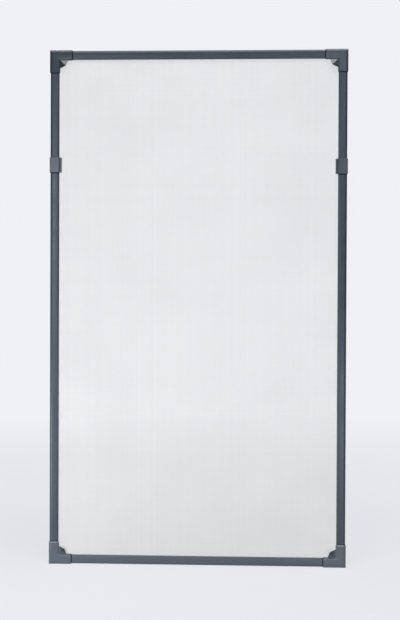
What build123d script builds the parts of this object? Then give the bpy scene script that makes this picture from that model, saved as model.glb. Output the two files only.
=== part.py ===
from build123d import *
import math
import os

os.makedirs("parts", exist_ok=True)

# A magnetic insect screen for a window: a rectangle of hollow plastic rails, plugged into four corner
# pieces and two straight joiners. The cloth lies on the back of the rails, flexible magnet strips press
# it there, and they hold on to tape that is stuck to the window frame.
# The screen stands upright. X is its width, Z is up, and its front faces -Y.

# overall size over the corner pieces, and where the side rails are joined
screen_width = 750.0
screen_height = 1300.0
left_joint_drop = 289.0  # from the top edge to the middle of the joiner
right_joint_drop = 293.0

# rails
rail_width = 22.0
rail_depth = 5.5  # from the cloth to the crest of the front
outer_roll = 6.5  # from the outer edge to the crest
outer_drop = 3.2  # of the outer edge below the crest
inner_roll = 4.5  # from the inner edge to the crown
inner_drop = 2.8  # of the inner edge below the crest
crown_drop = 0.5  # of the crown's inner side below the crest
front_wall = 1.2
outer_wall = 3.2  # beside the chamber, under the roll
inner_wall = 4.0
seat_wall = 1.0  # between the chamber and the cloth
lip_wall = 1.5  # outer lip that hides the magnet strip
lip_gap = 0.5  # from the lip to the tape

# corner pieces and joiners, which sleeve over the rails and plug into their chambers
sleeve_wall = 1.3
fit_gap = 0.2
corner_leg = 56.5
tongue_length = 26.0
joiner_length = 38.0
joiner_web = 2.0  # stop between the two rail ends
joiner_bevel = 1.6
foot_width = 5.0  # flange of a joiner that lies on the cloth
foot_thick = 1.5
plug_wall = 2.0  # walls and rib of the corner's hollow plug
mouth_bevel = 1.1
edge_round = 0.8

# finger scoop across the inner angle of a corner piece
scoop_leg = 20.5  # along each leg
scoop_reach = 15.5  # of its ridge, inwards from both legs
scoop_rise = 4.0  # of its sharp ridge above the front
scoop_wall = 1.5
scoop_round = 3.0  # of the ridge
scoop_nose = 4.0  # round the end of the ridge
scoop_bite = 0.4  # how far it runs into the legs

# magnet strips, tape and adhesive
magnet_width = 15.0
magnet_thick = 2.0
tape_thick = 1.0
tape_gap = 0.5  # between the cut ends at the corners
adhesive_thick = 0.3

# Cloth: about 500 upright and 800 level threads. Each bar here stands for several of them, and has
# their share of the width, so that the cloth is as open as the woven one.
cloth_thick = 0.5
thread = 0.28
thread_pitch = 1.45
upright_step = 6.0
level_step = 10.8

# levels, as heights above the window frame
tape_back = adhesive_thick
tape_front = tape_back + tape_thick
lip_back = tape_front + lip_gap
cloth_back = tape_front + magnet_thick
cloth_front = cloth_back + cloth_thick
rail_front = cloth_front + rail_depth
sleeve_front = rail_front + fit_gap + sleeve_wall
scoop_foot = sleeve_front - inner_drop

# the scoop's ridge and nose are rounded, which takes a little off its height
scoop_slope = math.atan((sleeve_front + scoop_rise - scoop_foot) / scoop_reach)
half_turn = math.acos(math.cos(scoop_slope) ** 2) / 2
ridge_slope = math.atan(math.tan(scoop_slope) / math.sqrt(2))
ridge_loss = scoop_round * (1 / math.cos(half_turn) - 1) / math.cos(ridge_slope)
half_nose = math.pi / 4 + math.atan((scoop_leg - scoop_reach) / scoop_reach)
nose_loss = scoop_nose * (1 / math.sin(half_nose) - 1) * math.tan(ridge_slope)
total_depth = sleeve_front + scoop_rise - ridge_loss - nose_loss

# distances inwards from the outer edge of the screen
rail_edge = sleeve_wall + fit_gap
leg_width = rail_width + 2 * rail_edge
magnet_edge = rail_edge + lip_wall + fit_gap
socket_width = rail_width + 2 * fit_gap
socket_top = rail_front + fit_gap

chamber_width = rail_width - outer_wall - inner_wall
chamber_depth = rail_depth - crown_drop - front_wall - seat_wall
chamber_across = rail_edge + outer_wall + chamber_width / 2
chamber_level = cloth_front + seat_wall + chamber_depth / 2
tongue_width = chamber_width - 2 * fit_gap
tongue_thick = chamber_depth - 2 * fit_gap

window_face = total_depth / 2  # the origin is the centre of the whole screen
half_width = screen_width / 2
half_height = screen_height / 2
towards_front = Vector(0, -1, 0)

# Each side starts at a corner and runs anticlockwise, seen from the front: its corner, run and inward way.
sides = {
    "bottom": (Vector(-half_width, window_face, -half_height), Vector(1, 0, 0), Vector(0, 0, 1)),
    "right": (Vector(half_width, window_face, -half_height), Vector(0, 0, 1), Vector(-1, 0, 0)),
    "top": (Vector(half_width, window_face, half_height), Vector(-1, 0, 0), Vector(0, 0, -1)),
    "left": (Vector(-half_width, window_face, half_height), Vector(0, 0, -1), Vector(1, 0, 0)),
}


def across(side, distance):
    """Section plane of a side: x runs inwards, y towards the front and z along the side."""
    corner, run, inward = sides[side]
    return Plane(origin=corner + run * distance, x_dir=inward, z_dir=run)


def plan_at(side):
    """Plane on the window frame at the side's first corner: x along the side and y inwards."""
    corner, run, _ = sides[side]
    return Plane(origin=corner, x_dir=run, z_dir=towards_front)


def save(piece, name):
    piece.part.label = name
    export_step(piece.part, f"parts/{name}.step")


def rail_outline(grow, back):
    """The section round a rail, grown by a distance at its sides and front, down to a level at the back."""
    outer = rail_edge - grow
    inner = rail_edge + rail_width + grow
    crest = rail_front + grow
    crown_end = (inner - inner_roll, crest - crown_drop)
    with BuildSketch() as outline:
        with BuildLine():
            TangentArc((rail_edge + outer_roll, crest), (outer, crest - outer_drop), tangent=(-1, 0))
            Polyline((outer, crest - outer_drop), (outer, back), (inner, back), (inner, crest - inner_drop))
            crown = TangentArc((rail_edge + outer_roll, crest), crown_end, tangent=(1, 0))
            TangentArc(crown_end, (inner, crest - inner_drop), tangent=crown % 1)
        make_face()
    return outline.sketch


# section of a rail, with its lip and the chamber that the tongues plug into
with BuildSketch() as rail_profile:
    add(rail_outline(0, cloth_front))
    with Locations((rail_edge + lip_wall / 2, (lip_back + cloth_front) / 2)):
        Rectangle(lip_wall, cloth_front - lip_back)
    with Locations((chamber_across, chamber_level)):
        Rectangle(chamber_width, chamber_depth, mode=Mode.SUBTRACT)

# section of a joiner's sleeve, open at the back for the cloth and the magnet strip
with BuildSketch() as sleeve_profile:
    with BuildLine():
        Polyline(
            (0, lip_back),
            (0, sleeve_front),
            (leg_width, sleeve_front),
            (leg_width, cloth_front + foot_thick),
            (leg_width + foot_width, cloth_front + foot_thick),
            (leg_width + foot_width, cloth_front),
            (leg_width - sleeve_wall, cloth_front),
            (leg_width - sleeve_wall, socket_top),
            (sleeve_wall, socket_top),
            (sleeve_wall, lip_back),
            close=True,
        )
    make_face()
    chamfer(sleeve_profile.vertices().group_by(Axis.Y)[-1], joiner_bevel)

# section of a tongue
with BuildSketch() as tongue_profile:
    with Locations((chamber_across, chamber_level)):
        Rectangle(tongue_width, tongue_thick)


def rail(name, side, start, end):
    """A rail and its magnet strip, from start to end along a side."""
    with BuildPart() as stock:
        with BuildSketch(across(side, start)):
            add(rail_profile.sketch)
        extrude(amount=end - start)
    save(stock, f"{name}_rail")

    with BuildPart() as magnet:
        with BuildSketch(across(side, start)):
            with Locations((magnet_edge + magnet_width / 2, tape_front + magnet_thick / 2)):
                Rectangle(magnet_width, magnet_thick)
        extrude(amount=end - start)
    save(magnet, f"{name}_magnet_strip")


def joiner(name, side, middle):
    """A straight joiner: a sleeve over both rail ends, a stop between them and a tongue into each."""
    with BuildPart() as piece:
        with BuildSketch(across(side, middle - joiner_length / 2)):
            add(sleeve_profile.sketch)
        extrude(amount=joiner_length)
        fillet(piece.faces().sort_by(Axis.Y)[0].edges(), edge_round)
        with BuildSketch(across(side, middle - joiner_web / 2)):
            with Locations((leg_width / 2, (cloth_front + socket_top) / 2)):
                Rectangle(socket_width, socket_top - cloth_front)
        extrude(amount=joiner_web)
        with BuildSketch(across(side, middle - joiner_web / 2 - tongue_length)):
            add(tongue_profile.sketch)
        extrude(amount=joiner_web + 2 * tongue_length)
    save(piece, name)


def corner_leg_block(plan, section, start, end, mitred):
    """A section run out along both legs of a corner, between two distances from the outer corner."""
    mitre = Plane(origin=plan.origin, z_dir=plan.x_dir - plan.y_dir)
    level = Plane(origin=plan.origin + plan.x_dir * start, x_dir=plan.y_dir, z_dir=plan.x_dir)
    upright = Plane(origin=plan.origin + plan.y_dir * end, x_dir=plan.x_dir, z_dir=-plan.y_dir)
    legs = []
    for plane, side_kept in ((level, Keep.TOP), (upright, Keep.BOTTOM)):
        with BuildPart() as leg:
            with BuildSketch(plane):
                add(section)
            extrude(amount=end - start)
            if mitred:
                split(bisect_by=mitre, keep=side_kept)
        legs.append(leg.part)
    return legs


def scoop_block(plan, outline, height, rounding):
    """Everything inside an outline and under the scoop's two facets: they rise from the legs, from that
    height, and meet in a ridge over the middle of the inner angle."""
    foot = plan.from_local_coords(Vector(leg_width, leg_width, height))
    up = plan.z_dir * math.cos(scoop_slope)
    facets = [
        Plane(origin=foot, z_dir=up - way * math.sin(scoop_slope)) for way in (plan.x_dir, plan.y_dir)
    ]
    inwards = scoop_reach / 2
    ridge_middle = Vector(leg_width + inwards, leg_width + inwards, height + inwards * math.tan(scoop_slope))
    with BuildPart() as block:
        with BuildSketch(plan.offset(cloth_front)):
            add(outline)
        extrude(amount=total_depth)
        for facet in facets:
            split(bisect_by=facet, keep=Keep.BOTTOM)
        fillet(block.edges().sort_by_distance(plan.from_local_coords(ridge_middle))[0], rounding)
    return block.part


def scoop_outline():
    """The scoop in plan, a kite with a round nose at the end of its ridge."""
    near = leg_width - scoop_bite
    foot_end = leg_width + scoop_leg
    nose = leg_width + scoop_reach
    with BuildSketch() as kite:
        Polygon((near, near), (foot_end, near), (nose, nose), (near, foot_end), align=None)
        fillet(kite.vertices().sort_by_distance((nose, nose))[0], scoop_nose)
    return kite.sketch


def corner_piece(name, side):
    """A moulded corner: an L of two sleeves, a hollow plug between them, two tongues and a finger scoop."""
    plan = plan_at(side)
    sleeve_grow = fit_gap + sleeve_wall
    leg_middle = (leg_width + corner_leg) / 2
    socket_length = corner_leg - leg_width
    plug_inside = leg_width - 2 * plug_wall
    arms = corner_leg_block(plan, rail_outline(sleeve_grow, lip_back), 0, corner_leg, True)
    sockets = corner_leg_block(plan, rail_outline(fit_gap, lip_back), leg_width, corner_leg, False)
    with BuildSketch() as open_corner:
        with Locations((leg_width + scoop_leg / 2, leg_width + scoop_leg / 2)):
            Rectangle(scoop_leg, scoop_leg)
    hood = scoop_block(plan, scoop_outline(), scoop_foot, scoop_round)
    hollow = scoop_block(plan, open_corner.sketch, scoop_foot - scoop_wall, scoop_round - scoop_wall / 2)
    with BuildPart() as piece:
        add(arms)
        for way in (plan.x_dir, plan.y_dir):
            mouth = piece.faces().sort_by(Axis(plan.origin, way))[-1]
            chamfer(mouth.edges().filter_by(GeomType.CIRCLE), mouth_bevel)

        # sockets for the rails, open at the back, where the cloth passes behind the inner walls
        add(sockets, mode=Mode.SUBTRACT)
        with BuildSketch(plan.offset(lip_back)):
            with Locations((leg_middle, leg_width - sleeve_wall / 2)):
                Rectangle(socket_length, sleeve_wall)
            with Locations((leg_width - sleeve_wall / 2, leg_middle)):
                Rectangle(sleeve_wall, socket_length)
        extrude(amount=cloth_front - lip_back, mode=Mode.SUBTRACT)

        # the plug between the sleeves is hollow at the back, with a rib from corner to corner
        with BuildSketch(plan.offset(lip_back)):
            with Locations((leg_width / 2, leg_width / 2)):
                Rectangle(plug_inside, plug_inside)
                Rectangle(plug_wall, 2 * plug_inside, rotation=-45, mode=Mode.SUBTRACT)
        extrude(amount=sleeve_front - outer_drop - plug_wall - lip_back, mode=Mode.SUBTRACT)

        # tongues
        with BuildSketch(plan.offset(chamber_level - tongue_thick / 2)):
            with Locations((leg_width + tongue_length / 2, chamber_across)):
                Rectangle(tongue_length, tongue_width)
            with Locations((chamber_across, leg_width + tongue_length / 2)):
                Rectangle(tongue_width, tongue_length)
        extrude(amount=tongue_thick)

        # finger scoop, open towards the middle of the screen
        add(hood - hollow)
    save(piece, name)


def tape(name, side, start, end):
    """The tape on the window frame along a side, and the adhesive behind it."""
    for layer, back, thick in (("tape", tape_back, tape_thick), ("tape_adhesive", 0, adhesive_thick)):
        with BuildPart() as strip:
            with BuildSketch(across(side, start)):
                with Locations((magnet_edge + magnet_width / 2, back + thick / 2)):
                    Rectangle(magnet_width, thick)
            extrude(amount=end - start)
        save(strip, f"{name}_{layer}")


# rails, which butt on the corner plugs and on the joiners' stops
rail("bottom", "bottom", leg_width, screen_width - leg_width)
rail("top", "top", leg_width, screen_width - leg_width)
half_web = joiner_web / 2
rail("left_upper", "left", leg_width, left_joint_drop - half_web)
rail("left_lower", "left", left_joint_drop + half_web, screen_height - leg_width)
rail("right_upper", "right", screen_height - right_joint_drop + half_web, screen_height - leg_width)
rail("right_lower", "right", leg_width, screen_height - right_joint_drop - half_web)

joiner("left_joiner", "left", left_joint_drop)
joiner("right_joiner", "right", screen_height - right_joint_drop)

corner_piece("bottom_left_corner", "bottom")
corner_piece("bottom_right_corner", "right")
corner_piece("top_right_corner", "top")
corner_piece("top_left_corner", "left")

# the upright tapes run past the level ones
level_tape_start = magnet_edge + magnet_width + tape_gap
tape("bottom", "bottom", level_tape_start, screen_width - level_tape_start)
tape("top", "top", level_tape_start, screen_width - level_tape_start)
tape("left", "left", magnet_edge, screen_height - magnet_edge)
tape("right", "right", magnet_edge, screen_height - magnet_edge)

# cloth: a layer of upright threads on a layer of level ones, notched round the corner plugs
cloth_width = screen_width - 2 * magnet_edge
cloth_height = screen_height - 2 * magnet_edge
notch = leg_width + fit_gap - magnet_edge
thread_share = thread / thread_pitch
open_width = cloth_width - 2 * notch - 2 * upright_step * thread_share
open_height = cloth_height - 2 * notch - 2 * level_step * thread_share
upright_gaps = int(open_width // upright_step)
level_gaps = int(open_height // level_step)
cloth_plane = Plane(origin=(0, window_face, 0), x_dir=(1, 0, 0), z_dir=towards_front)


def cloth_outline():
    """The cut cloth, lying flat."""
    Rectangle(cloth_width, cloth_height)
    with GridLocations(cloth_width - notch, cloth_height - notch, 2, 2):
        Rectangle(notch, notch, mode=Mode.SUBTRACT)


with BuildPart() as level_threads:
    with BuildSketch(cloth_plane.offset(cloth_back)):
        cloth_outline()
        with GridLocations(0, level_step, 1, level_gaps):
            Rectangle(open_width, level_step * (1 - thread_share), mode=Mode.SUBTRACT)
    extrude(amount=cloth_thick / 2)

with BuildPart() as cloth:
    with BuildSketch(cloth_plane.offset(cloth_back + cloth_thick / 2)):
        cloth_outline()
        with GridLocations(upright_step, 0, upright_gaps, 1):
            Rectangle(upright_step * (1 - thread_share), open_height, mode=Mode.SUBTRACT)
    extrude(amount=cloth_thick / 2)
cloth_layers = Compound(label="screen_cloth", children=[level_threads.part.solid(), cloth.part.solid()])
export_step(cloth_layers, "parts/screen_cloth.step")
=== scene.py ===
import math
import random

import bmesh
import bpy
from mathutils import Matrix, Vector


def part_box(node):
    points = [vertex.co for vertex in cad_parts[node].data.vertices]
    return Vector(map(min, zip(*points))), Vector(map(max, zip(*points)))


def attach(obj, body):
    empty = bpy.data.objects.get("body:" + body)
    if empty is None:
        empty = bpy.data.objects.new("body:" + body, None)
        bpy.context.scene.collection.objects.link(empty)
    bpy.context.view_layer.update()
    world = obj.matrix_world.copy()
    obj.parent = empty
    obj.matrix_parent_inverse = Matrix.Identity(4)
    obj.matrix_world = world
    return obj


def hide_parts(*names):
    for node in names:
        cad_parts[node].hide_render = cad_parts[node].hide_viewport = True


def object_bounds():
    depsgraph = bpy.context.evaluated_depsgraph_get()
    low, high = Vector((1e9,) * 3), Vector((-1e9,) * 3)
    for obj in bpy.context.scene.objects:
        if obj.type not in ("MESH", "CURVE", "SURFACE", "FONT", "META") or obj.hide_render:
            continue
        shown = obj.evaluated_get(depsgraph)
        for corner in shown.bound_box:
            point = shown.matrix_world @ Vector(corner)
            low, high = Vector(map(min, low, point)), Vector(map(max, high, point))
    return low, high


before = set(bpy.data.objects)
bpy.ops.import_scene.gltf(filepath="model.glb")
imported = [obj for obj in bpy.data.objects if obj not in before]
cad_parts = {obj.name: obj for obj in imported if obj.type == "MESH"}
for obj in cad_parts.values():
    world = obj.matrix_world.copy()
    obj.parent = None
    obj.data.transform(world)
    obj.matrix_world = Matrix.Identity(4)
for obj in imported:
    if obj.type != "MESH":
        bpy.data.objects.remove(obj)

# A magnetic insect screen: it stands upright, its front faces -Y, X is its width and Z is up.
# Everything is in metres, in the frame of the CAD model.

mm = 0.001
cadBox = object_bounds()
scene = bpy.context.scene
print("frame loaded:", len(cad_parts), "nodes")

# camera and stage

view = {
    "distance": 2.2,
    "azimuth": 2.085,  # degrees, round to the right
    "elevation": 0.401,
    "roll": 0.232,
    "target": (0.0065, 0.0, -0.0042),
    "lens": 50.71,  # millimetres, on a sensor 36 mm high
}


def addCamera():
    azimuth = math.radians(view["azimuth"])
    elevation = math.radians(view["elevation"])
    place = view["distance"] * Vector((
        math.sin(azimuth) * math.cos(elevation),
        -math.cos(azimuth) * math.cos(elevation),
        math.sin(elevation),
    ))
    aim = Vector(view["target"]) - place
    data = bpy.data.cameras.new("camera")
    data.lens = view["lens"]
    data.sensor_width = 36
    data.clip_start = 0.01
    data.clip_end = 100
    camera = bpy.data.objects.new("camera", data)
    turn = aim.to_track_quat("-Z", "Y").to_matrix().to_4x4()
    roll = Matrix.Rotation(math.radians(view["roll"]), 4, "Z")
    camera.matrix_world = Matrix.Translation(place) @ turn @ roll
    scene.collection.objects.link(camera)
    scene.camera = camera


addCamera()
scene.view_settings.view_transform = "Standard"

# small helpers for node trees


def addNode(tree, kind, **values):
    node = tree.nodes.new(kind)
    for name, value in values.items():
        setattr(node, name, value)
    return node


def setSocket(tree, socket, value):
    if isinstance(value, (int, float)):
        socket.default_value = value
    elif isinstance(value, tuple):
        socket.default_value = (*value, 1.0) if socket.type == "RGBA" else value
    else:
        tree.links.new(value, socket)


def noise(tree, vector, scale, detail=3.0, roughness=0.5):
    node = addNode(tree, "ShaderNodeTexNoise")
    setSocket(tree, node.inputs["Vector"], vector)
    setSocket(tree, node.inputs["Scale"], scale)
    setSocket(tree, node.inputs["Detail"], detail)
    setSocket(tree, node.inputs["Roughness"], roughness)
    return node.outputs["Fac"]


def remap(tree, value, fromLow, fromHigh, toLow=0.0, toHigh=1.0):
    node = addNode(tree, "ShaderNodeMapRange", clamp=True)
    for name, number in zip(("Value", "From Min", "From Max", "To Min", "To Max"),
                            (value, fromLow, fromHigh, toLow, toHigh)):
        setSocket(tree, node.inputs[name], number)
    return node.outputs["Result"]


def calculate(tree, operation, first, second=0.0):
    node = addNode(tree, "ShaderNodeMath", operation=operation)
    setSocket(tree, node.inputs[0], first)
    setSocket(tree, node.inputs[1], second)
    return node.outputs["Value"]


def mixColour(tree, factor, first, second):
    node = addNode(tree, "ShaderNodeMix", data_type="RGBA")
    for name, value in (("Factor", factor), ("A", first), ("B", second)):
        socket = next(s for s in node.inputs if s.name == name and s.enabled)
        setSocket(tree, socket, value)
    return next(s for s in node.outputs if s.enabled)


def strongest(tree, masks):
    result = masks[0]
    for mask in masks[1:]:
        result = calculate(tree, "MAXIMUM", result, mask)
    return result


def axesOf(tree, vector):
    node = addNode(tree, "ShaderNodeSeparateXYZ")
    setSocket(tree, node.inputs["Vector"], vector)
    return node.outputs


def stretch(tree, vector, scale):
    node = addNode(tree, "ShaderNodeMapping")
    setSocket(tree, node.inputs["Vector"], vector)
    node.inputs["Scale"].default_value = scale
    return node.outputs["Vector"]


def bump(tree, height, strength, distance, under=None):
    node = addNode(tree, "ShaderNodeBump")
    setSocket(tree, node.inputs["Height"], height)
    node.inputs["Strength"].default_value = strength
    node.inputs["Distance"].default_value = distance
    if under is not None:
        setSocket(tree, node.inputs["Normal"], under)
    return node.outputs["Normal"]


def newGroup(name, inputs, outputs):
    group = bpy.data.node_groups.new(name, "ShaderNodeTree")
    for label, kind, value in inputs:
        socket = group.interface.new_socket(label, in_out="INPUT", socket_type=kind)
        if value is not None:
            socket.default_value = value
    for label, kind in outputs:
        group.interface.new_socket(label, in_out="OUTPUT", socket_type=kind)
    return group, addNode(group, "NodeGroupInput").outputs, addNode(group, "NodeGroupOutput").inputs


def useGroup(tree, group, **values):
    node = addNode(tree, "ShaderNodeGroup", node_tree=group)
    for label, value in values.items():
        setSocket(tree, node.inputs[label], value)
    return node.outputs


# shared effects, placed in each material with values of its own


def makeGrain():  # fine pits and a slow unevenness of tone
    group, given, out = newGroup(
        "grain",
        [("Place", "NodeSocketVector", None), ("Fineness", "NodeSocketFloat", 1800.0)],
        [("Height", "NodeSocketFloat"), ("Tone", "NodeSocketFloat")],
    )
    fine = noise(group, given["Place"], given["Fineness"], 2.0, 0.6)
    setSocket(group, out["Height"], remap(group, fine, 0.3, 0.7))
    slow = noise(group, given["Place"], 14.0, 4.0, 0.6)
    setSocket(group, out["Tone"], remap(group, slow, 0.35, 0.65))
    return group


def makeDrawLines():  # faint lines that an extruding die leaves along a profile
    group, given, out = newGroup(
        "drawLines",
        [("Place", "NodeSocketVector", None)],
        [("Height", "NodeSocketFloat"), ("Tone", "NodeSocketFloat")],
    )
    setSocket(group, out["Height"], noise(group, given["Place"], 900.0, 2.0, 0.7))
    setSocket(group, out["Tone"], remap(group, noise(group, given["Place"], 260.0, 3.0, 0.6), 0.3, 0.7))
    return group


def makeScuffs():  # short pale rubs and handling marks
    group, given, out = newGroup(
        "scuffs",
        [("Place", "NodeSocketVector", None), ("Amount", "NodeSocketFloat", 0.5)],
        [("Mask", "NodeSocketFloat")],
    )
    patches = remap(group, noise(group, given["Place"], 38.0, 5.0, 0.65), 0.58, 0.72)
    fine = remap(group, noise(group, given["Place"], 420.0, 3.0, 0.7), 0.5, 0.75)
    rubbed = calculate(group, "MULTIPLY", patches, fine)
    setSocket(group, out["Mask"], calculate(group, "MULTIPLY", rubbed, given["Amount"]))
    return group


def makeNearPlane():  # a band on both sides of a level
    group, given, out = newGroup(
        "nearPlane",
        [
            ("Along", "NodeSocketFloat", None),
            ("Level", "NodeSocketFloat", 0.0),
            ("Width", "NodeSocketFloat", 0.002),
        ],
        [("Mask", "NodeSocketFloat")],
    )
    away = calculate(group, "ABSOLUTE", calculate(group, "SUBTRACT", given["Along"], given["Level"]))
    share = calculate(group, "DIVIDE", away, given["Width"])
    setSocket(group, out["Mask"], remap(group, share, 0.6, 1.0, 1.0, 0.0))
    return group


grain = makeGrain()
drawLines = makeDrawLines()
scuffs = makeScuffs()
nearPlane = makeNearPlane()
print("node groups ready")


# materials


def newMaterial(name, roughness=0.5):
    material = bpy.data.materials.new(name)
    material.use_nodes = True
    tree = material.node_tree
    shader = next(n for n in tree.nodes if n.type == "BSDF_PRINCIPLED")
    shader.inputs["Roughness"].default_value = roughness
    place = addNode(tree, "ShaderNodeTexCoord").outputs["Object"]
    return material, tree, shader.inputs, place


# where the sleeves of the corner pieces and joiners end over the rails
sleeveLength = 38 * mm  # of a joiner, whose tongues run on inside the rails
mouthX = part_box("bottom_left_corner")[1][0]
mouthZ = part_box("bottom_left_corner")[1][2]


def sleeveFoot(node):
    low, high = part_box(node)
    return (low[2] + high[2]) / 2 - sleeveLength / 2


railFinish = {
    "colour": (0.030, 0.044, 0.066),
    "lighter": (0.075, 0.098, 0.130),
    "mottle": 0.22,
    "fineness": 2400.0,  # of the pits in its skin
    "lineRelief": (0.25, 0.00006),  # strength and metres, as for each relief below
    "skinRelief": (0.2, 0.00002),
    "paintedShade": (0.004, 0.005, 0.006),  # painted shade: a dark line where a rail enters a sleeve, standing in for the shadow under the sleeve's step
    "paintedShadeWidth": 0.0029,
    "rub": (0.17, 0.20, 0.23),
    "rubAmount": 0.35,
    "rubRoughness": 0.3,
    "roughness": (0.33, 0.45),
    "along": 0.012,  # scale along the rail of the lines that the die leaves
    "rubAlong": 0.3,
}


def railMaterial(name, upright, shadeLevels):
    material, tree, shader, place = newMaterial(name)

    def drawnOut(scale):
        return stretch(tree, place, (1.0, 1.0, scale) if upright else (scale, 1.0, 1.0))

    drawn = useGroup(tree, drawLines, Place=drawnOut(railFinish["along"]))
    skin = useGroup(tree, grain, Place=place, Fineness=railFinish["fineness"])
    rubs = useGroup(tree, scuffs, Place=drawnOut(railFinish["rubAlong"]), Amount=railFinish["rubAmount"])
    # painted light and shade of the whole piece, read from its tone attribute
    paintedShading = addNode(tree, "ShaderNodeAttribute", attribute_name="tone").outputs["Fac"]
    both = calculate(tree, "ADD", drawn["Tone"], skin["Tone"])
    tone = calculate(tree, "ADD", paintedShading, calculate(tree, "MULTIPLY", both, railFinish["mottle"] / 2))
    colour = mixColour(tree, tone, railFinish["colour"], railFinish["lighter"])
    colour = mixColour(tree, rubs["Mask"], colour, railFinish["rub"])
    run = axesOf(tree, place)["Z" if upright else "X"]
    # painted shade: dark bands across the rail at each sleeve mouth and under the lower end of a joiner,
    # where the sleeve's step casts its shadow
    width = railFinish["paintedShadeWidth"]
    bands = [useGroup(tree, nearPlane, Along=run, Level=level, Width=width) for level in shadeLevels]
    paintedShade = strongest(tree, [band["Mask"] for band in bands])
    setSocket(tree, shader["Base Color"], mixColour(tree, paintedShade, colour, railFinish["paintedShade"]))
    duller = calculate(tree, "MULTIPLY", rubs["Mask"], railFinish["rubRoughness"])
    rough = calculate(tree, "ADD", remap(tree, skin["Tone"], 0.0, 1.0, *railFinish["roughness"]), duller)
    setSocket(tree, shader["Roughness"], strongest(tree, [rough, paintedShade]))
    lined = bump(tree, drawn["Height"], *railFinish["lineRelief"])
    setSocket(tree, shader["Normal"], bump(tree, skin["Height"], *railFinish["skinRelief"], lined))
    return material


mouldFinish = {
    "colour": (0.006, 0.016, 0.027),
    "lighter": (0.098, 0.123, 0.154),
    "mottle": 0.08,
    "fineness": 1500.0,
    "relief": (0.15, 0.00002),
    "rub": (0.15, 0.18, 0.20),
    "rubAmount": 0.2,
    "pale": (0.30, 0.33, 0.37),  # painted highlight: a pale band on the edge of a mouth that faces up, where the light falls
    "highlightWidth": 0.0016,
    "roughness": (0.28, 0.40),
}


def mouldMaterial(name):
    material, tree, shader, place = newMaterial(name)
    skin = useGroup(tree, grain, Place=place, Fineness=mouldFinish["fineness"])
    rubs = useGroup(tree, scuffs, Place=place, Amount=mouldFinish["rubAmount"])
    # painted light and shade of the whole piece, read from its tone attribute
    paintedShading = addNode(tree, "ShaderNodeAttribute", attribute_name="tone").outputs["Fac"]
    tone = calculate(tree, "ADD", paintedShading, calculate(tree, "MULTIPLY", skin["Tone"], mouldFinish["mottle"]))
    colour = mixColour(tree, tone, mouldFinish["colour"], mouldFinish["lighter"])
    colour = mixColour(tree, rubs["Mask"], colour, mouldFinish["rub"])
    height = axesOf(tree, place)["Z"]
    # painted highlight along the upward-facing mouths of the lower corner pieces
    paintedHighlight = useGroup(tree, nearPlane, Along=height, Level=mouthZ, Width=mouldFinish["highlightWidth"])
    setSocket(tree, shader["Base Color"], mixColour(tree, paintedHighlight["Mask"], colour, mouldFinish["pale"]))
    setSocket(tree, shader["Roughness"], remap(tree, skin["Height"], 0.0, 1.0, *mouldFinish["roughness"]))
    setSocket(tree, shader["Normal"], bump(tree, skin["Height"], *mouldFinish["relief"]))
    return material


magnetFinish = {
    "colour": (0.022, 0.020, 0.019),
    "dusty": (0.06, 0.056, 0.052),
    "fineness": 1100.0,
    "relief": (0.4, 0.00005),
    "roughness": (0.62, 0.8),
}


def magnetMaterial(name):
    material, tree, shader, place = newMaterial(name)
    skin = useGroup(tree, grain, Place=place, Fineness=magnetFinish["fineness"])
    dust = calculate(tree, "MULTIPLY", skin["Tone"], skin["Height"])
    colour = mixColour(tree, dust, magnetFinish["colour"], magnetFinish["dusty"])
    setSocket(tree, shader["Base Color"], colour)
    setSocket(tree, shader["Roughness"], remap(tree, skin["Tone"], 0.0, 1.0, *magnetFinish["roughness"]))
    setSocket(tree, shader["Normal"], bump(tree, skin["Height"], *magnetFinish["relief"]))
    return material


tapeFinish = {
    "colour": (0.045, 0.047, 0.051),
    "lighter": (0.065, 0.067, 0.072),
    "fineness": 1600.0,
    "relief": (0.3, 0.00003),
    "roughness": (0.52, 0.68),
}


def tapeMaterial(name):
    material, tree, shader, place = newMaterial(name)
    skin = useGroup(tree, grain, Place=place, Fineness=tapeFinish["fineness"])
    colour = mixColour(tree, skin["Tone"], tapeFinish["colour"], tapeFinish["lighter"])
    setSocket(tree, shader["Base Color"], colour)
    setSocket(tree, shader["Roughness"], remap(tree, skin["Height"], 0.0, 1.0, *tapeFinish["roughness"]))
    setSocket(tree, shader["Normal"], bump(tree, skin["Height"], *tapeFinish["relief"]))
    return material


adhesiveFinish = {
    "colour": (0.60, 0.57, 0.50),
    "pale": (0.72, 0.70, 0.64),
    "blotchScale": 60.0,
    "rippleScale": 350.0,
    "relief": (0.5, 0.0001),
    "roughness": (0.28, 0.45),
}


def adhesiveMaterial(name):
    material, tree, shader, place = newMaterial(name)
    blotches = remap(tree, noise(tree, place, adhesiveFinish["blotchScale"], 5.0, 0.6), 0.35, 0.65)
    colour = mixColour(tree, blotches, adhesiveFinish["colour"], adhesiveFinish["pale"])
    setSocket(tree, shader["Base Color"], colour)
    setSocket(tree, shader["Roughness"], remap(tree, blotches, 0.0, 1.0, *adhesiveFinish["roughness"]))
    ripples = noise(tree, place, adhesiveFinish["rippleScale"], 3.0)
    setSocket(tree, shader["Normal"], bump(tree, ripples, *adhesiveFinish["relief"]))
    return material


clothFinish = {
    "dark": (0.62, 0.625, 0.63),
    "light": (0.80, 0.805, 0.81),
    "patchScale": 6.0,
    "fibreScale": 5200.0,
    "relief": (0.5, 0.00003),
    "roughness": 0.5,
}


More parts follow.
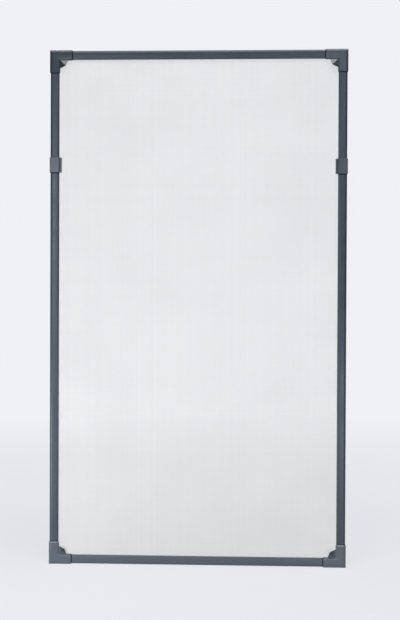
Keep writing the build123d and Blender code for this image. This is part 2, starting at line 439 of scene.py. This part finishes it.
def clothMaterial(name):
    material, tree, shader, place = newMaterial(name, clothFinish["roughness"])
    tone = addNode(tree, "ShaderNodeAttribute", attribute_name="tone").outputs["Fac"]
    patches = remap(tree, noise(tree, place, clothFinish["patchScale"], 3.0), 0.3, 0.7, 0.0, 0.5)
    shade = calculate(tree, "ADD", calculate(tree, "MULTIPLY", tone, 0.5), patches)
    setSocket(tree, shader["Base Color"], mixColour(tree, shade, clothFinish["dark"], clothFinish["light"]))
    fibres = noise(tree, place, clothFinish["fibreScale"], 2.0)
    setSocket(tree, shader["Normal"], bump(tree, fibres, *clothFinish["relief"]))
    return material


# the rails get painted shade at the sleeve mouths over them and under the lower end of each joiner
levelRail = railMaterial("levelRailPlastic", False, [mouthX, -mouthX])
leftRail = railMaterial("leftRailPlastic", True, [mouthZ, -mouthZ, sleeveFoot("left_joiner")])
rightRail = railMaterial("rightRailPlastic", True, [mouthZ, -mouthZ, sleeveFoot("right_joiner")])
mould = mouldMaterial("mouldedPlastic")
magnet = magnetMaterial("magnetRubber")
tape = tapeMaterial("counterTape")
adhesive = adhesiveMaterial("adhesive")
clothThread = clothMaterial("clothThread")
print("materials ready")

# rails, corner pieces, joiners, magnet strips and tapes: the CAD shapes with softened edges

# each moulding and length of rail has its own tone, matched to how light the real one looks: painted light
# and shade, lighter towards the bottom of the screen and darker towards the top
paintedPieceShading = {
    "top_rail": 0.0, "bottom_rail": 0.7, "left_upper_rail": 0.05, "left_lower_rail": 0.1,
    "right_upper_rail": 0.05, "right_lower_rail": -0.05,
    "top_left_corner": 0.22, "top_right_corner": 0.44,
    "bottom_left_corner": 0.76, "bottom_right_corner": 0.85,
    "left_joiner": 0.47, "right_joiner": 0.42,
}

# the two lower finger scoops are painted nearly black, painted shade on facets that face down; they start
# just inside the legs of the corner pieces
scoopPaintedShade = -0.2
scoopStart = 25.1 * mm  # inwards from the screen's outer edges
scoopX = cadBox[1][0] - scoopStart
scoopZ = cadBox[1][2] - scoopStart

edgeSoftening = {"rail": 0.25, "corner": 0.3, "joiner": 0.3, "magnet_strip": 0.2, "tape": 0.12}  # mm
bevelFrom = 28  # degrees between two faces whose edge is softened
crispFrom = 13  # degrees between two faces that aren't shaded as one
railPlastic = {"left": leftRail, "right": rightRail}


def inLowerScoop(point):
    return abs(point.x) < scoopX and abs(point.z) < scoopZ and point.z < 0


def softened(node, width, material):
    bm = bmesh.new()
    bm.from_mesh(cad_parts[node].data)
    bmesh.ops.remove_doubles(bm, verts=bm.verts, dist=0.005 * mm)
    bmesh.ops.dissolve_limit(bm, angle_limit=math.radians(1.0), verts=bm.verts, edges=bm.edges)
    angle = math.radians(bevelFrom)
    sharp = [e for e in bm.edges if len(e.link_faces) == 2 and e.calc_face_angle(0) > angle]
    bmesh.ops.bevel(bm, geom=sharp, offset=width * mm, offset_type="OFFSET", affect="EDGES", segments=2,
                    profile=0.5, material=-1, clamp_overlap=True)
    for face in bm.faces:
        face.smooth = True
    for edge in bm.edges:
        edge.smooth = len(edge.link_faces) == 2 and edge.calc_face_angle(0) < math.radians(crispFrom)
    mesh = bpy.data.meshes.new(node + "Soft")
    bm.to_mesh(mesh)
    bm.free()
    mesh.materials.append(material)
    # painted light and shade, set per piece and darker still in the two lower scoops
    if node in paintedPieceShading:
        tone = mesh.attributes.new("tone", "FLOAT", "POINT")
        shades = [scoopPaintedShade if inLowerScoop(v.co) else paintedPieceShading[node] for v in mesh.vertices]
        tone.data.foreach_set("value", shades)
    piece = bpy.data.objects.new(node + "_piece", mesh)
    scene.collection.objects.link(piece)
    even = piece.modifiers.new("evenNormals", "WEIGHTED_NORMAL")
    even.keep_sharp = True
    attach(piece, "root")
    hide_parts(node)


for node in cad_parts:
    if node.endswith("_rail"):
        plastic = railPlastic.get(node.split("_")[0], levelRail)
        softened(node, edgeSoftening["rail"], plastic)
    elif node.endswith("_corner"):
        softened(node, edgeSoftening["corner"], mould)
    elif node.endswith("_joiner"):
        softened(node, edgeSoftening["joiner"], mould)
    elif node.endswith("_magnet_strip"):
        softened(node, edgeSoftening["magnet_strip"], magnet)
    elif node.endswith("_tape"):
        softened(node, edgeSoftening["tape"], tape)
    elif node.endswith("_adhesive"):
        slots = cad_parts[node].data.materials
        slots.clear()
        slots.append(adhesive)
print("solid pieces dressed")

# cloth: two layers of thread, crossing

cloth = {
    "pitch": (1.40, 1.55),  # mm, between upright threads and between level ones
    "threadWidth": 0.28,
    "wander": 0.05,  # mm, how far a thread strays from its place
    "swing": 5,  # radians of its wave, from end to end
    "steps": 8,  # stretches along each thread
    "seed": 11,
}


def makeCloth():
    low, high = (Vector(corner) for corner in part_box("screen_cloth"))
    random.seed(cloth["seed"])
    bm = bmesh.new()
    tone = bm.verts.layers.float.new("tone")
    middle = (low.y + high.y) / 2
    half = cloth["threadWidth"] * mm / 2
    for acrossAxis, alongAxis, pitch, near, far in (
        (0, 2, cloth["pitch"][0] * mm, low.y, middle),
        (2, 0, cloth["pitch"][1] * mm, middle, high.y),
    ):
        width = high[acrossAxis] - low[acrossAxis]
        length = high[alongAxis] - low[alongAxis]
        count = int((width - 2 * half) / pitch) + 1
        first = low[acrossAxis] + (width - (count - 1) * pitch) / 2
        for index in range(count):
            stray = random.uniform(-1, 1)
            shade = random.random()
            phase = random.uniform(0, 2 * math.pi)
            rings = []
            for step in range(cloth["steps"] + 1):
                along = low[alongAxis] + length * step / cloth["steps"]
                wave = math.sin(phase + cloth["swing"] * step / cloth["steps"])
                drift = (stray + wave) * cloth["wander"] * mm / 2
                centre = first + index * pitch + drift
                centre = min(max(centre, low[acrossAxis] + half), high[acrossAxis] - half)
                ring = []
                for side, level in ((-half, near), (half, near), (half, far), (-half, far)):
                    point = [0.0, level, 0.0]
                    point[acrossAxis] = centre + side
                    point[alongAxis] = along
                    vert = bm.verts.new(point)
                    vert[tone] = shade
                    ring.append(vert)
                rings.append(ring)
            for ring, following in zip(rings, rings[1:]):
                for corner in range(4):
                    bm.faces.new((ring[corner], ring[(corner + 1) % 4],
                                  following[(corner + 1) % 4], following[corner]))
            bm.faces.new(rings[0])
            bm.faces.new(rings[-1])
    bmesh.ops.recalc_face_normals(bm, faces=bm.faces)
    mesh = bpy.data.meshes.new("threads")
    bm.to_mesh(mesh)
    bm.free()
    mesh.materials.append(clothThread)
    piece = bpy.data.objects.new("cloth_threads", mesh)
    scene.collection.objects.link(piece)
    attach(piece, "root")
    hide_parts("screen_cloth")
    return piece


threads = makeCloth()
print("cloth made:", len(threads.data.polygons), "faces")

# floor, backdrop and lamps

stage = {
    "floorColour": (0.80, 0.80, 0.81),
    "floorShade": 0.985,  # its darker patches, as a share of that
    "backdropColour": (0.868, 0.876, 0.905),
    "floorSize": 12.0,
    "glow": (0.8, 1.0),  # of the floor, near the object and far behind it
    "fade": (0.4, 3.0),  # metres from the object
    "skyLevel": 0.06,
}


def addFloor():
    bm = bmesh.new()
    bmesh.ops.create_grid(bm, x_segments=1, y_segments=1, size=stage["floorSize"] / 2)
    bmesh.ops.translate(bm, verts=bm.verts, vec=(0, 0, cadBox[0][2] - 0.2 * mm))
    mesh = bpy.data.meshes.new("floor")
    bm.to_mesh(mesh)
    bm.free()
    material, tree, shader, place = newMaterial("floorPaint", 0.8)
    shade = remap(tree, noise(tree, place, 3.0, 3.0), 0.3, 0.7)
    darker = tuple(stage["floorShade"] * c for c in stage["floorColour"])
    setSocket(tree, shader["Base Color"], mixColour(tree, shade, stage["floorColour"], darker))
    away = addNode(tree, "ShaderNodeVectorMath", operation="LENGTH")
    setSocket(tree, away.inputs[0], stretch(tree, place, (1.0, 1.0, 0.0)))
    glow = addNode(tree, "ShaderNodeEmission")
    glow.inputs["Color"].default_value = (*stage["backdropColour"], 1)
    path = addNode(tree, "ShaderNodeLightPath").outputs
    seen = calculate(tree, "MAXIMUM", path["Is Camera Ray"], path["Is Transmission Ray"])
    seen = calculate(tree, "MAXIMUM", seen, path["Is Glossy Ray"])  # the glow lights nothing
    mix = addNode(tree, "ShaderNodeMixShader")
    glowing = remap(tree, away.outputs["Value"], *stage["fade"], *stage["glow"])
    setSocket(tree, mix.inputs["Fac"], calculate(tree, "MULTIPLY", glowing, seen))
    out = next(n for n in tree.nodes if n.type == "OUTPUT_MATERIAL").inputs["Surface"]
    tree.links.new(out.links[0].from_socket, mix.inputs[1])
    tree.links.new(glow.outputs["Emission"], mix.inputs[2])
    tree.links.new(mix.outputs["Shader"], out)
    mesh.materials.append(material)
    floor = bpy.data.objects.new("floor", mesh)
    scene.collection.objects.link(floor)


def addSky():
    world = bpy.data.worlds.new("studio")
    scene.world = world
    world.use_nodes = True
    tree = world.node_tree
    tree.nodes.clear()
    path = addNode(tree, "ShaderNodeLightPath").outputs
    seen = calculate(tree, "MAXIMUM", path["Is Camera Ray"], path["Is Transmission Ray"])
    backdrop = addNode(tree, "ShaderNodeBackground")
    backdrop.inputs["Color"].default_value = (*stage["backdropColour"], 1)
    light = addNode(tree, "ShaderNodeBackground")
    light.inputs["Color"].default_value = (1, 1, 1, 1)
    light.inputs["Strength"].default_value = stage["skyLevel"]
    mix = addNode(tree, "ShaderNodeMixShader")
    tree.links.new(seen, mix.inputs["Fac"])
    tree.links.new(light.outputs["Background"], mix.inputs[1])
    tree.links.new(backdrop.outputs["Background"], mix.inputs[2])
    out = addNode(tree, "ShaderNodeOutputWorld")
    tree.links.new(mix.outputs["Shader"], out.inputs["Surface"])


lamps = {
    "above": {"place": (0.2, -0.8, 2.45), "aim": (0, 0, 0.3), "size": (2.2, 0.4), "power": 48.8},
    "leftTall": {"place": (-0.87, -2.5, 0.4), "aim": (-0.2, 0, 0.1), "size": (0.4, 0.7), "power": 14.5},
    "rightHigh": {"place": (0.7, -2.5, 1.02), "aim": (0.1, 0, 0.4), "size": (0.35, 0.3), "power": 4.1},
    "rightLow": {"place": (0.56, -1.5, -0.46), "aim": (0.3, 0, -0.3), "size": (0.25, 0.25), "power": 3.7},
    "bottomLeft": {"place": (-0.9, -0.8, -0.5), "aim": (-0.3, 0, -0.65), "size": (0.3, 0.2), "power": 5.0},
}


def addLamp(name, settings):
    data = bpy.data.lights.new(name, "AREA")
    data.shape = "RECTANGLE"
    data.size, data.size_y = settings["size"]
    data.energy = settings["power"]
    lamp = bpy.data.objects.new(name, data)
    place = Vector(settings["place"])
    aim = Vector(settings["aim"]) - place
    lamp.matrix_world = Matrix.Translation(place) @ aim.to_track_quat("-Z", "Y").to_matrix().to_4x4()
    scene.collection.objects.link(lamp)


addFloor()
addSky()
for name, settings in lamps.items():
    addLamp(name, settings)
print("stage and lamps set")
